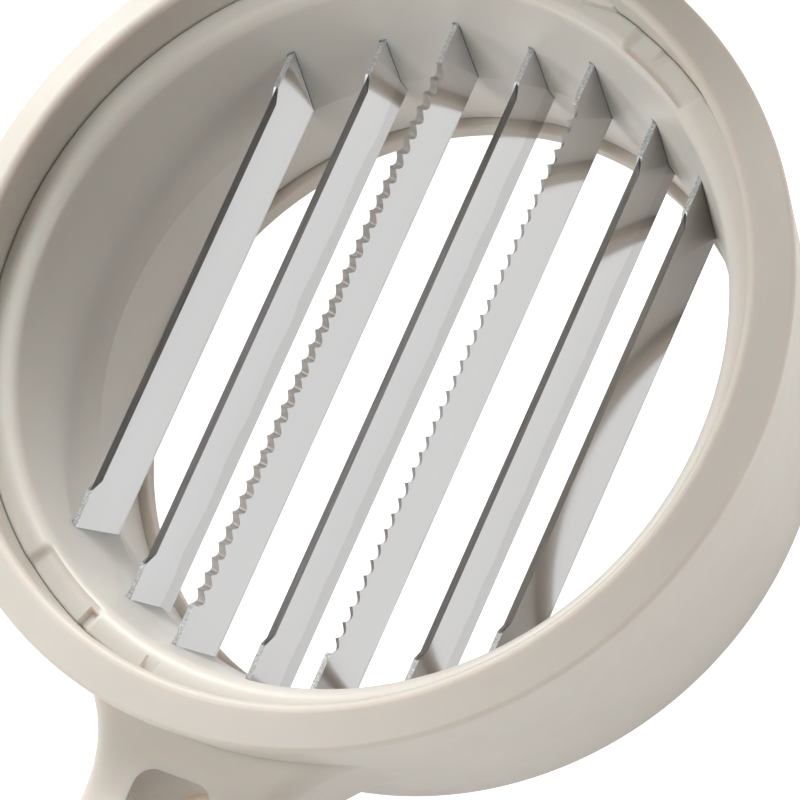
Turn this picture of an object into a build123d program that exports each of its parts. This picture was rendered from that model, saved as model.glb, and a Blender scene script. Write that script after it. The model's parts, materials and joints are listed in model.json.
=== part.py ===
"""Hand press egg slicer: a ring of steel blades on one handle, hinged to a finned pusher on another."""
import os
from math import cos, hypot, radians, sin, sqrt, tan

from build123d import *

os.makedirs("parts", exist_ok=True)

# Blades: upright steel strips across the ring, every second one set lower
blade_count = 7
blade_pitch = 7.0
blade_width = 8.0
blade_thickness = 0.5
blade_stagger = 1.9
serrated_blades = (3, 5)
edge_height = 19.5
edge_setback = 0.08
bevel_height = 0.85
bevel_margin = 3.4
bevel_end_slope = 35.0
tooth_pitch = 1.5
tooth_depth = 1.1
gullet_flat = 0.22
tooth_bevel_drop = 0.55

# Funnel: the pale insert that the blades are moulded into
funnel_margin = 3.7
funnel_draft = 11.57
throat_drop = 8.0
lip_rise = 6.0
lip_width = 2.8
lip_thickness = 2.4
lip_inner_bevel = 1.1
holder_wall = 3.6
anchor_depth = 1.2
slot_headroom = 0.8
notch_angle = 62.2
notch_width = 8.8
notch_depth = 0.9

# Ring of the lower arm, which carries the insert and stands on its foot
rim_width = 3.9
rim_rise = 5.0
shoulder_drop = 1.6
shoulder_angle = 26.0
rim_outer_round = 2.0
rim_inner_bevel = 0.5
wall_draft = 9.5
foot_bevel = 0.8
flange_thickness = 2.1
flange_ledge = 0.9
nib_width = 1.2
nib_reach = 0.6

# Handles: one plan serves both arms
handle_top = 22.0
handle_thickness = 12.0
handle_length = 113.0
neck_width = 18.0
neck_flare = 12.0
grip_width = 25.0
grip_bevel = 1.8
under_bevel = 1.0
slot_width = 10.0
slot_land = 2.3
slot_length = 62.0
slot_corner = 3.0
slot_bevel = 0.9

# Hinge opposite the handles
hinge_drop = 3.0
pin_radius = 2.0
knuckle_radius = 5.5
knuckle_width = 12.0
knuckle_rim_gap = 2.25
ear_margin = 0.7
ear_thickness = 4.2
ear_root_width = 1.0
ear_root_height = 15.0
ear_root_drop = 4.0
ear_bevel = 0.8
stop_thickness = 4.0
stop_reach = 4.5
pin_recess = 0.3

# Upper arm and its pusher, drawn as closed and then swung open by this angle
open_angle = 110.0
arm_thickness = 9.0
arm_land = 3.5
arm_recess_depth = 2.5
arm_top_bevel = 1.5
arm_low_bevel = 0.6
tongue_root = 5.0
pusher_plate = 4.0
pusher_flange = 2.2
fin_side_gap = 1.15
fin_clearance = 2.1
fin_pass = 3.6
fin_hollow = 3.0
fin_corner = 2.5
fin_core_wall = 1.2
fin_core_margin = 3.0
fin_core_floor = 6.0

# Clearances, and how far a cut runs past the face it opens
holder_clearance = 0.15
holder_foot_gap = 0.2
nib_clearance = 0.1
pin_clearance = 0.06
hinge_side_gap = 0.3
stop_gap = 0.3
closed_gap = 0.5
pusher_clearance = 0.2
pusher_sink = 0.2
cut_overshoot = 1.0

# Heights and radii that follow from the sizes above
middle_blade = (blade_count + 1) / 2
funnel_radius = middle_blade * blade_pitch + funnel_margin
funnel_slope = tan(radians(funnel_draft))
wall_slope = tan(radians(wall_draft))
throat_height = edge_height - throat_drop
throat_radius = funnel_radius - throat_drop * funnel_slope
lip_height = edge_height + lip_rise
lip_under = lip_height - lip_thickness
lip_inner_radius = funnel_radius + lip_rise * funnel_slope
lip_radius = lip_inner_radius + lip_width
holder_foot = flange_thickness + holder_foot_gap
holder_radius = throat_radius + holder_wall
anchor_radius = funnel_radius + anchor_depth
seat_radius = lip_radius + holder_clearance
ring_height = lip_height + rim_rise
rim_radius = seat_radius + rim_width
shoulder_height = ring_height - shoulder_drop
crest_radius = rim_radius - shoulder_drop / tan(radians(shoulder_angle))
foot_radius = rim_radius - shoulder_height * wall_slope
foot_inner_radius = throat_radius - flange_ledge
collar_radius = foot_radius + handle_top * wall_slope
handle_reach = collar_radius + handle_length
hinge_y = rim_radius + knuckle_radius + knuckle_rim_gap
hinge_z = ring_height - hinge_drop
ear_radius = knuckle_radius + ear_margin
ear_inner = knuckle_width / 2 + hinge_side_gap
ear_outer = ear_inner + ear_thickness
ear_root_top = ring_height - ear_root_drop
stop_top = hinge_z - knuckle_radius - stop_gap
stop_end = hinge_y + stop_reach
arm_low = ring_height + closed_gap
arm_top = arm_low + arm_thickness
arm_top_radius = collar_radius - arm_thickness * wall_slope
arm_recess_radius = arm_top_radius - arm_land
arm_opening_radius = arm_recess_radius - pusher_flange
plug_radius = arm_opening_radius - pusher_clearance
plate_top = arm_top - pusher_sink
plate_low = plate_top - pusher_plate
fin_radius = throat_radius - fin_clearance
fin_thickness = blade_pitch - blade_thickness - 2 * fin_side_gap
fin_low = edge_height - blade_stagger - blade_width - fin_pass
fin_core_low = fin_low + fin_hollow + fin_core_floor

# Plane whose own coordinates are those of the closed press, swung open about the hinge
swing = radians(open_angle)
closed_up = (0, sin(swing), cos(swing))
closed_origin = (
    0,
    hinge_y - hinge_y * cos(swing) - hinge_z * sin(swing),
    hinge_z + hinge_y * sin(swing) - hinge_z * cos(swing),
)
closed = Plane(origin=closed_origin, x_dir=(1, 0, 0), z_dir=closed_up)
closed_side = Plane(origin=closed_origin, x_dir=closed.y_dir, z_dir=closed.x_dir)
closed_front = Plane(origin=closed_origin, x_dir=closed.x_dir, z_dir=-closed.y_dir)
closed_along = Axis(closed_origin, closed.y_dir)
closed_rise = Axis(closed_origin, closed.z_dir)


def funnel_radius_at(height):
    """Inner radius of the funnel at a height above the foot."""
    return funnel_radius + (height - edge_height) * funnel_slope


def blade_x(number):
    """Place of a blade across the ring, counted from the left."""
    return (number - middle_blade) * blade_pitch


def blade_top(number):
    """Height of a blade's upper edge: even numbers sit lower."""
    return edge_height - blade_stagger * (number % 2 == 0)


def blade_reach(number):
    """Half the length of a blade, whose ends are buried in the insert's wall."""
    return sqrt(anchor_radius**2 - (abs(blade_x(number)) + blade_thickness / 2) ** 2)


def ground_reach(number):
    """Half the length that is ground sharp, clear of the wall at both ends."""
    return sqrt(funnel_radius_at(blade_top(number)) ** 2 - blade_x(number) ** 2) - bevel_margin


def fin_x(number):
    """Place of a pusher fin, midway between two blades or outside the last one."""
    return blade_x(number) + blade_pitch / 2


def fin_reach(number):
    """Half the length of a fin, inside the round throat."""
    return sqrt(fin_radius**2 - (abs(fin_x(number)) + fin_thickness / 2) ** 2)


def corner(sketch, across, up):
    """The corner of a sketch that lies nearest to a point."""
    return sketch.vertices().sort_by_distance((across, up, 0))[0]


def handle_plan(plane):
    """Handle outline on a plane: neck flared onto the ring, widening grip, round tip."""
    grip = grip_width / 2
    neck = neck_width / 2
    tail = handle_reach - grip
    flare_x = neck + neck_flare
    flare_y = sqrt((collar_radius + neck_flare) ** 2 - flare_x**2)
    share = collar_radius / (collar_radius + neck_flare)
    touch = (flare_x * share, -flare_y * share)
    with BuildSketch(plane) as plan:
        with BuildLine():
            Polyline((0, -foot_inner_radius), (touch[0], -foot_inner_radius), touch)
            RadiusArc(touch, (neck, -flare_y), -neck_flare)
            middle = ((neck + grip) / 2, -(flare_y + tail) / 2)
            swell = TangentArc((neck, -flare_y), middle, tangent=(0, -1))
            TangentArc(middle, (grip, -tail), tangent=swell % 1)
            RadiusArc((grip, -tail), (0, -handle_reach), grip)
            mirror(about=Plane.YZ)
        make_face()
    return plan.sketch


def slot_plan(plane):
    """Window through a handle, square ended with round corners."""
    with BuildSketch(plane) as plan:
        with Locations((0, -collar_radius - slot_land - slot_length / 2)):
            RectangleRounded(slot_width, slot_length, slot_corner)
    return plan.sketch


# Lower arm: handle, hinge ears and ring in one moulding, with a round rim and bevelled edges
with BuildPart() as blade_frame:
    extrude(handle_plan(Plane.XY.offset(handle_top)), amount=-handle_thickness, taper=wall_draft)
    outline = blade_frame.edges().filter_by_position(Axis.Y, -handle_reach, -collar_radius)
    chamfer(outline.group_by(Axis.Z)[-1], length=grip_bevel)
    outline = blade_frame.edges().filter_by_position(Axis.Y, -handle_reach, -collar_radius)
    chamfer(outline.group_by(Axis.Z)[0], length=under_bevel)
    extrude(slot_plan(Plane.XY.offset(handle_top)), amount=-handle_thickness, mode=Mode.SUBTRACT)
    slot_edges = blade_frame.faces().filter_by(Axis.Z).sort_by(Axis.Z)[-1].inner_wires()[0].edges()
    chamfer(slot_edges, length=slot_bevel)
    with BuildSketch(Plane.YZ.offset(ear_inner)):
        with Locations((hinge_y, hinge_z)):
            Circle(ear_radius)
        with Locations((holder_radius, ear_root_top)):
            Rectangle(ear_root_width, ear_root_height, align=(Align.CENTER, Align.MAX))
        with Locations((stop_end, stop_top)):
            Rectangle(stop_reach, stop_thickness, align=(Align.MAX, Align.MAX))
        make_hull()
    extrude(amount=ear_thickness)
    ear_edges = blade_frame.faces().filter_by(Axis.X).sort_by(Axis.X)[-1].edges()
    chamfer(ear_edges.filter_by_position(Axis.Y, foot_radius, hinge_y + ear_radius), length=ear_bevel)
    with BuildSketch(Plane.YZ):
        with Locations((stop_end, stop_top)):
            Rectangle(stop_end - holder_radius, stop_thickness, align=(Align.MAX, Align.MAX))
    extrude(amount=ear_inner)
    mirror(about=Plane.YZ)
    with BuildSketch(Plane.XZ) as outer_section:
        with BuildLine():
            Polyline(
                (0, 0),
                (foot_radius, 0),
                (rim_radius, shoulder_height),
                (crest_radius, ring_height),
                (0, ring_height),
                close=True,
            )
        make_face()
        chamfer(corner(outer_section, foot_radius, 0), length=foot_bevel)
        fillet(corner(outer_section, crest_radius, ring_height), radius=rim_outer_round)
    revolve(axis=Axis.Z)
    with BuildSketch(Plane.XZ):
        with BuildLine():
            Polyline(
                (seat_radius + rim_inner_bevel, ring_height),
                (seat_radius + rim_inner_bevel, ring_height + cut_overshoot),
                (0, ring_height + cut_overshoot),
                (0, -cut_overshoot),
                (foot_inner_radius, -cut_overshoot),
                (foot_inner_radius, flange_thickness),
                (holder_radius + holder_clearance, flange_thickness),
                (holder_radius + holder_clearance, lip_under),
                (seat_radius, lip_under),
                (seat_radius, ring_height - rim_inner_bevel),
                close=True,
            )
        make_face()
    revolve(axis=Axis.Z, mode=Mode.SUBTRACT)
    with BuildSketch(Plane.XY.offset(lip_height - notch_depth + nib_clearance)):
        with PolarLocations(seat_radius, 2, start_angle=notch_angle):
            Rectangle(2 * nib_reach, nib_width)
    extrude(amount=notch_depth)
    with BuildSketch(Plane.YZ.offset(-ear_outer)):
        with Locations((hinge_y, hinge_z)):
            Circle(pin_radius)
    extrude(amount=2 * ear_outer, mode=Mode.SUBTRACT)
blade_frame.part.label = "blade_frame"
export_step(blade_frame.part, "parts/blade_frame.step")

# Insert: funnel, straight throat and snap-in lip with two finger notches
with BuildPart() as blade_holder:
    with BuildSketch(Plane.XZ) as holder_section:
        with BuildLine():
            Polyline(
                (throat_radius, holder_foot),
                (throat_radius, throat_height),
                (lip_inner_radius, lip_height),
                (lip_radius, lip_height),
                (lip_radius, lip_under),
                (holder_radius, lip_under),
                (holder_radius, holder_foot),
                close=True,
            )
        make_face()
        chamfer(corner(holder_section, lip_inner_radius, lip_height), length=lip_inner_bevel)
    revolve(axis=Axis.Z)
    with BuildSketch(Plane.XY.offset(lip_height)):
        with PolarLocations(lip_radius, 2, start_angle=notch_angle):
            Rectangle(2 * lip_width, notch_width)
    extrude(amount=-notch_depth, mode=Mode.SUBTRACT)
    for number in range(1, blade_count + 1):
        with BuildSketch(Plane.YZ.offset(blade_x(number) - blade_thickness / 2)):
            with Locations((0, blade_top(number) - blade_width)):
                Rectangle(
                    2 * blade_reach(number),
                    blade_width + slot_headroom,
                    align=(Align.CENTER, Align.MIN),
                )
        extrude(amount=blade_thickness, mode=Mode.SUBTRACT)
blade_holder.part.label = "blade_holder"
export_step(blade_holder.part, "parts/blade_holder.step")

# Blades, numbered from the left: most are ground straight, two are toothed
for number in range(1, blade_count + 1):
    place = blade_x(number)
    edge = blade_top(number) - edge_setback
    ground = ground_reach(number)
    with BuildPart() as blade:
        with BuildSketch(Plane.YZ.offset(place - blade_thickness / 2)):
            with Locations((0, blade_top(number))):
                Rectangle(2 * blade_reach(number), blade_width, align=(Align.CENTER, Align.MAX))
        extrude(amount=blade_thickness)
        if number in serrated_blades:
            name = f"serrated_blade_{number}"
            ground_side = 1 if place < 0 else -1
            teeth = int(2 * ground / tooth_pitch)
            rise = 2 * edge_setback
            half_gullet = tooth_pitch / 2 + rise * (tooth_pitch - gullet_flat) / (2 * tooth_depth)
            with BuildSketch(Plane.YZ.offset(place - blade_thickness)):
                with Locations((0, edge)):
                    with GridLocations(tooth_pitch, 1, teeth, 1):
                        Polygon(
                            (-half_gullet, rise),
                            (-gullet_flat / 2, -tooth_depth),
                            (gullet_flat / 2, -tooth_depth),
                            (half_gullet, rise),
                            align=None,
                        )
            extrude(amount=2 * blade_thickness, mode=Mode.SUBTRACT)
            with BuildSketch(Plane.XZ):
                with Locations((place, edge)):
                    Polygon(
                        (-ground_side * blade_thickness / 2, 0),
                        (ground_side * blade_thickness / 2, -tooth_bevel_drop),
                        (ground_side * blade_thickness / 2, rise),
                        (-ground_side * blade_thickness / 2, rise),
                        align=None,
                    )
            extrude(amount=teeth * tooth_pitch / 2, both=True, mode=Mode.SUBTRACT)
        else:
            name = f"straight_blade_{number}"
            bevel_length = hypot(bevel_height, blade_thickness / 2)
            end_run = bevel_length / tan(radians(bevel_end_slope))
            for side in (-1, 1):
                bevel = Plane(
                    origin=(place, 0, edge),
                    x_dir=(0, side, 0),
                    z_dir=(side * bevel_height, 0, blade_thickness / 2),
                )
                with BuildSketch(bevel):
                    with BuildLine():
                        Polyline(
                            (ground + end_run, bevel_length),
                            (ground - end_run, -bevel_length),
                            (end_run - ground, -bevel_length),
                            (-ground - end_run, bevel_length),
                            close=True,
                        )
                    make_face()
                extrude(amount=blade_thickness, mode=Mode.SUBTRACT)
    blade.part.label = name
    export_step(blade.part, f"parts/{name}.step")

# Steel pin pressed into the ears, on which the upper arm turns
with BuildPart() as hinge_pin:
    with BuildSketch(Plane.YZ.offset(pin_recess - ear_outer)):
        with Locations((hinge_y, hinge_z)):
            Circle(pin_radius)
    extrude(amount=2 * (ear_outer - pin_recess))
hinge_pin.part.label = "hinge_pin"
export_step(hinge_pin.part, "parts/hinge_pin.step")

# Upper arm: handle, ring for the pusher, tongue and knuckle with its square stop heel
with BuildPart() as pusher_arm:
    extrude(handle_plan(closed.offset(arm_low)), amount=arm_thickness, taper=wall_draft)
    outline = pusher_arm.edges().filter_by_position(closed_along, -handle_reach, -collar_radius)
    chamfer(outline.group_by(closed_rise)[-1], length=grip_bevel)
    outline = pusher_arm.edges().filter_by_position(closed_along, -handle_reach, -collar_radius)
    chamfer(outline.group_by(closed_rise)[0], length=under_bevel)
    extrude(slot_plan(closed.offset(arm_low)), amount=arm_thickness, mode=Mode.SUBTRACT)
    with BuildSketch(closed_front) as arm_section:
        with BuildLine():
            Polyline(
                (0, arm_low),
                (collar_radius, arm_low),
                (arm_top_radius, arm_top),
                (0, arm_top),
                close=True,
            )
        make_face()
        chamfer(corner(arm_section, collar_radius, arm_low), length=arm_low_bevel)
        chamfer(corner(arm_section, arm_top_radius, arm_top), length=arm_top_bevel)
    revolve(axis=closed_rise)
    with BuildSketch(closed_side.offset(-knuckle_width / 2)):
        with BuildLine():
            Polyline(
                (collar_radius - tongue_root, arm_low),
                (hinge_y - sqrt(knuckle_radius**2 - (arm_low - hinge_z) ** 2), arm_low),
                (hinge_y, hinge_z),
                (hinge_y, hinge_z + knuckle_radius),
                (collar_radius - tongue_root, arm_top - arm_top_bevel),
                close=True,
            )
        make_face()
    extrude(amount=knuckle_width)
    with BuildSketch(Plane.YZ.offset(-knuckle_width / 2)):
        with Locations((hinge_y, hinge_z)):
            Circle(knuckle_radius)
            Rectangle(knuckle_radius, knuckle_radius, align=(Align.MIN, Align.MAX))
    extrude(amount=knuckle_width)
    with BuildSketch(closed.offset(arm_low)):
        Circle(arm_opening_radius)
    extrude(amount=arm_thickness, mode=Mode.SUBTRACT)
    with BuildSketch(closed.offset(arm_top)):
        Circle(arm_recess_radius)
    extrude(amount=-arm_recess_depth, mode=Mode.SUBTRACT)
    with BuildSketch(Plane.YZ.offset(-knuckle_width / 2)):
        with Locations((hinge_y, hinge_z)):
            Circle(pin_radius + pin_clearance)
    extrude(amount=knuckle_width, mode=Mode.SUBTRACT)
pusher_arm.part.label = "pusher_arm"
export_step(pusher_arm.part, "parts/pusher_arm.step")

# Pusher: plate held in the upper arm, with cored fins that pass between the blades
with BuildPart() as pusher:
    with BuildSketch(closed_front):
        with BuildLine():
            Polyline(
                (0, plate_low),
                (plug_radius, plate_low),
                (plug_radius, arm_top - arm_recess_depth),
                (arm_recess_radius - pusher_clearance, arm_top - arm_recess_depth),
                (arm_recess_radius - pusher_clearance, plate_top),
                (0, plate_top),
                close=True,
            )
        make_face()
    revolve(axis=closed_rise)
    for number in range(blade_count + 1):
        reach = fin_reach(number)
        tip = fin_low + fin_hollow * (1 - (reach / fin_radius) ** 2)
        with BuildSketch(closed_side.offset(fin_x(number) - fin_thickness / 2)) as fin_side:
            with BuildLine():
                ThreePointArc((-reach, tip), (0, fin_low + fin_hollow), (reach, tip))
                Polyline((reach, tip), (reach, plate_low), (-reach, plate_low), (-reach, tip))
            make_face()
            chamfer(fin_side.vertices().group_by(Axis.Y)[0], length=fin_corner)
        extrude(amount=fin_thickness)
    with BuildSketch(closed.offset(plate_top)):
        for number in range(blade_count + 1):
            with Locations((fin_x(number), 0)):
                Rectangle(
                    fin_thickness - 2 * fin_core_wall,
                    2 * (fin_reach(number) - fin_core_margin),
                )
    extrude(amount=fin_core_low - plate_top, mode=Mode.SUBTRACT)
pusher.part.label = "pusher"
export_step(pusher.part, "parts/pusher.step")
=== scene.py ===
"""Finish of the hand press egg slicer: moulded arms, pale insert, steel blades and the studio they stand in."""
import json
from functools import partial
from math import asin, atan2, cos, pi, radians, sin, sqrt, tan

import bmesh
import bpy
from bpy.props import FloatProperty, FloatVectorProperty, IntProperty, PointerProperty
from mathutils import Matrix, Vector, geometry


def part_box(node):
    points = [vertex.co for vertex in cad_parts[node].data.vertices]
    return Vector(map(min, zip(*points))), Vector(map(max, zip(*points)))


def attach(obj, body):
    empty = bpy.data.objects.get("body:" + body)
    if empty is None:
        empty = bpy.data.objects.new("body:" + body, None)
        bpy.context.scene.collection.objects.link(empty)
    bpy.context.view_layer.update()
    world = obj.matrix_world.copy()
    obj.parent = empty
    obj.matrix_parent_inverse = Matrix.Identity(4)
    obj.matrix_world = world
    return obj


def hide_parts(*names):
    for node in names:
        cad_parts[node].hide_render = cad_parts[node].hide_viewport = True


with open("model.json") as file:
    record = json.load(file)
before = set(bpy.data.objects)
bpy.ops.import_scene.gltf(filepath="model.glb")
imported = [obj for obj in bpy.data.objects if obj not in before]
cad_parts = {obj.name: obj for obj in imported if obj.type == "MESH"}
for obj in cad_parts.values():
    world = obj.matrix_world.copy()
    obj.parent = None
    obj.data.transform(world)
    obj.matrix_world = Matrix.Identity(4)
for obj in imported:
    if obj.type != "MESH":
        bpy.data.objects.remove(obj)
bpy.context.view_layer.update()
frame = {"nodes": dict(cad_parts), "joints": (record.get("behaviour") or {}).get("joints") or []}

bl_info = {
    "name": "Egg slicer finish",
    "version": (1, 0, 0),
    "blender": (4, 5, 0),
    "location": "3D View > Sidebar > Egg slicer",
    "description": "Builds the finished surfaces of a hand press egg slicer on its packed frame",
    "category": "Object",
}

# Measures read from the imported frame
MM = 0.001
FRAME_LOW, FRAME_HIGH = (Vector(corner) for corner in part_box("blade_frame"))
HOLDER_LOW, HOLDER_HIGH = (Vector(corner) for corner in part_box("blade_holder"))
PIN_LOW, PIN_HIGH = (Vector(corner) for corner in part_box("hinge_pin"))
JOINT = frame["joints"][0]
HINGE = Vector(JOINT["pos_m"])
OPENED = (
    Matrix.Translation(HINGE)
    @ Matrix.Rotation(-radians(JOINT["range_deg"][1]), 4, "X")
    @ Matrix.Translation(-HINGE)
)
BLADES = sorted((n for n in frame["nodes"] if "_blade_" in n), key=lambda n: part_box(n)[0][0])

# Faces round a full turn, along a handle's outline or in a slot's corner, and the angle above which an edge stays sharp
RING_STEPS = 360
INSERT_STEPS = 900
ARM_STEPS = 300
PLATE_STEPS = 240
EAR_STEPS = 72
KNUCKLE_STEPS = 64
BORE_STEPS = 40
FLARE_STEPS = 10
SIDE_STEPS = 36
TIP_STEPS = 40
ROOT_STEPS = 16
SLOT_STEPS = 10
CORE_STEPS = 4
SHARP_EDGE = radians(38)
# Points nearer than this are one, and the least cosine of a corner that is moved inwards
MERGE_DISTANCE = 1e-7
CORNER_LIMIT = 0.3
# Plastic: light inside it by share, reach of each colour and scale, change of polish and depth of the grain
PLASTIC_IOR = 1.46
SCATTER_SHARE = 0.5
SCATTER_REACH = (1.0, 0.5, 0.3)
SCATTER_SCALE = 1.8 * MM
POLISH_CHANGE = 0.1
GRAIN_DEPTH = 0.05 * MM
# How far a blade's face turns up or aside to count as ground, as a bevel or as torn
FACE_UP = (0.06, 0.14)
FACE_ASIDE = (0.25, 0.35)
FACE_TORN = (0.985, 0.995)
# Steel: roughness of rolled faces, what ground ones add, metal that torn ones lose, relief and the lines' share of it
ROLLED_ROUGHNESS = 0.09
GROUND_ROUGHNESS = 0.25
TORN_LOSS = 0.6
STEEL_RELIEF = 0.1 * MM
LINE_SHARE = 0.008
# Upper limit of the dull band on the blades' faces, soft over this stretch, and its waves
BAND_TOP = (11.1 * MM, 10.8 * MM)
BAND_WAVE = 1.6 * MM
# Fins: points of the block that is bent, inputs of the row, power and rise of end corners, share and slimming of tips
FIN_POINTS = {"Vertices X": 9, "Vertices Y": 65, "Vertices Z": 41}
FIN_INPUTS = {
    "Count": "NodeSocketInt",
    **dict.fromkeys(("Pitch", "Thickness", "Circle", "Height", "Hollow"), "NodeSocketFloat"),
    "Material": "NodeSocketMaterial",
}
FIN_CORNER_POWER = 24.0
FIN_CORNER_RISE = 2.2 * MM
FIN_TIP = 0.06
FIN_SLIMMING = 0.38
# Turns through the round of the pusher's plate, and the tongue's corner inside the knuckle in knuckle radii
PLATE_TURNS = (0.5, 1.0, pi / 2)
TONGUE_CORNER = (-0.4, 0.3)
# Marks in the lip's outer edge: angle, half width, reach and depth
LIP_MARKS = (
    (radians(-111.6), 0.7 * MM, 1.7 * MM, 0.55 * MM),
    (radians(-98.8), 0.5 * MM, 0.5 * MM, 0.4 * MM),
    (radians(63.8), 0.5 * MM, 0.5 * MM, 0.35 * MM),
)
# Lamps round the object: name, bearing, height and power in watts
LAMPS = (
    ("back_right", 68, 42, 7.0),
    ("right_low", 15, 18, 4.0),
    ("back_key", 112, 40, 16.0),
    ("back_left", 135, 46, 6.5),
    ("rim_light", 152, 18, 8.5),
    ("top_fill", 222, 66, 9.5),
    ("left_fill", 228, 20, 6.5),
    ("front_fill", 258, 38, 6.0),
)


def size(name, description, default):
    """A length in metres that a user may change."""
    return FloatProperty(name=name, description=description, default=default, min=0.0, unit="LENGTH", precision=5)


def angle(name, description, default):
    """An angle that a user may change, given in degrees."""
    return FloatProperty(name=name, description=description, default=radians(default), subtype="ANGLE")


def amount(name, description, default):
    """A plain number that a user may change."""
    return FloatProperty(name=name, description=description, default=default)


def tally(name, description, default):
    """A whole number that a user may change."""
    return IntProperty(name=name, description=description, default=default, min=1)


def tint(name, description, default):
    """A surface colour that a user may change."""
    return FloatVectorProperty(
        name=name, description=description, default=default, size=3, min=0.0, max=1.0, subtype="COLOR"
    )


class RingSizes(bpy.types.PropertyGroup):
    """Section of the ring that carries the insert."""

    rim_radius: size("Rim radius", "Widest radius, at the shoulder", FRAME_HIGH.x)
    height: size("Height", "Top of the rim above the foot", 30.5 * MM)
    shoulder_drop: size("Shoulder drop", "Shoulder below the top of the rim", 1.6 * MM)
    shoulder_angle: angle("Shoulder angle", "Slope of the band between crest and shoulder", 26)
    crest_round: size("Crest round", "Round of the crest along the rim's inner edge", 0.7 * MM)
    shoulder_round: size("Shoulder round", "Round where the shoulder band meets the wall", 0.7 * MM)
    wall_draft: angle("Wall draft", "Taper of the outer wall", 9.5)
    foot_round: size("Foot round", "Round of the foot's outer edge", 0.5 * MM)
    flange_thickness: size("Flange thickness", "Thickness of the flange under the insert", 2.1 * MM)
    flange_radius: size("Flange radius", "Inner radius of the flange", 29.16 * MM)
    flange_round: size("Flange round", "Round of the flange's inner edges", 0.3 * MM)


class InsertSizes(bpy.types.PropertyGroup):
    """Funnel that the blades are moulded into."""

    lip_width: size("Lip width", "Flat width of the lip", 2.8 * MM)
    lip_thickness: size("Lip thickness", "Thickness of the lip", 2.4 * MM)
    lip_round: size("Lip round", "Round from the lip into the funnel", 1.5 * MM)
    lip_edge: size("Lip edge", "Small round along the parting line", 0.35 * MM)
    funnel_draft: angle("Funnel draft", "Taper of the funnel", 11.57)
    throat_height: size("Throat height", "Lower end of the funnel above the foot", 11.5 * MM)
    throat_round: size("Throat round", "Round from the funnel into the throat", 0.3 * MM)
    foot_round: size("Foot round", "Round of the lower edges", 0.2 * MM)
    wall_radius: size("Wall radius", "Outer radius below the lip", 33.66 * MM)
    clearance: size("Clearance", "Gap between insert and ring", 0.04 * MM)
    headroom: size("Pocket headroom", "Pocket above each blade's end", 0.3 * MM)
    pocket_gap: size("Pocket gap", "Gap beside each blade's end", 0.05 * MM)
    notch_angle: angle("Notch angle", "Place of the first finger notch round the lip", 62.2)
    notch_width: size("Notch width", "Width of a finger notch", 8.8 * MM)
    notch_depth: size("Notch depth", "Depth of a finger notch", 0.55 * MM)
    notch_ramp: size("Notch ramp", "Run of a notch's soft ends", 1.0 * MM)
    notch_start: size("Notch start", "Inner edge of a notch outside the funnel's mouth", 0.2 * MM)
    notch_run: size("Notch run", "Run of a notch's inner edge", 0.6 * MM)
    mark_floor: size("Mark floor", "Stretch below the lip's top that the marks move", 1 * MM)


class HandleSizes(bpy.types.PropertyGroup):
    """Plan and section shared by both handles."""

    reach: size("Reach", "End of the handle from the ring's axis", -FRAME_LOW.y)
    top: size("Top", "Upper face of the lower handle above the foot", 22 * MM)
    thickness: size("Thickness", "Thickness of the lower handle", 12 * MM)
    neck_width: size("Neck width", "Width beside the ring", 18 * MM)
    neck_flare: size("Neck flare", "Radius that joins the neck to the ring", 12 * MM)
    neck_sink: size("Neck sink", "How far the flare dips into the ring's wall", 0.05 * MM)
    grip_width: size("Grip width", "Width of the grip's round end", 25 * MM)
    edge_round: size("Edge round", "Round of the lower handle's upper edges", 2.6 * MM)
    under_round: size("Under round", "Round of the under edges", 1.2 * MM)
    slot_width: size("Slot width", "Width of the slot", 10 * MM)
    slot_length: size("Slot length", "Length of the slot", 62 * MM)
    slot_land: size("Slot land", "Stretch between ring and slot", 2.3 * MM)
    slot_corner: size("Slot corner", "Corner radius of the slot", 3.0 * MM)
    slot_round: size("Slot round", "Round of the lower slot's upper edges", 1.2 * MM)
    slot_under: size("Slot under round", "Round of the lower slot's under edges", 0.5 * MM)
    root_depth: size("Root depth", "Root of the lower handle inside the insert's seat", 1.5 * MM)


class HingeSizes(bpy.types.PropertyGroup):
    """Ears, knuckle and pin."""

    pin_radius: size("Pin radius", "Radius of the pin", (PIN_HIGH.z - PIN_LOW.z) / 2)
    knuckle_radius: size("Knuckle radius", "Radius of the upper arm's knuckle", 5.5 * MM)
    knuckle_width: size("Knuckle width", "Width of the knuckle between the ears", 12.0 * MM)
    ear_radius: size("Ear radius", "Radius of an ear round the pin", 6.2 * MM)
    ear_inner: size("Ear inner face", "Inner face of an ear from the middle", 6.3 * MM)
    ear_outer: size("Ear outer face", "Outer face of an ear from the middle", 10.5 * MM)
    ear_round: size("Ear round", "Round of an ear's outer edge", 1.0 * MM)
    root_height: size("Ear root height", "Height of an ear where it meets the wall", 15 * MM)
    root_drop: size("Ear root drop", "Top of an ear's root below the rim", 4 * MM)
    stop_thickness: size("Stop thickness", "Thickness of the stop between the ears", 4 * MM)
    stop_reach: size("Stop reach", "Reach of the stop beyond the pin", 4.5 * MM)
    stop_gap: size("Stop gap", "Gap between stop and heel", 0.3 * MM)
    edge_round: size("Edge round", "Round of the small edges", 0.5 * MM)
    root_sink: size("Root sink", "Roots of ears and stop inside the ring's wall", 0.8 * MM)
    inner_round: size("Inner round", "Round of an ear's inner edge", 0.2 * MM)
    bore_bevel: size("Bore bevel", "Bevel of an ear's bore", 0.3 * MM)
    bore_gap: size("Bore gap", "Gap between pin and knuckle", 0.06 * MM)
    pin_gap: size("Pin gap", "Gap between pin and ears", 0.01 * MM)
    pin_round: size("Pin round", "Round of the pin's ends", 0.4 * MM)
    stop_overlap: size("Stop overlap", "Ends of the stop inside the ears", 1 * MM)


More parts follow.
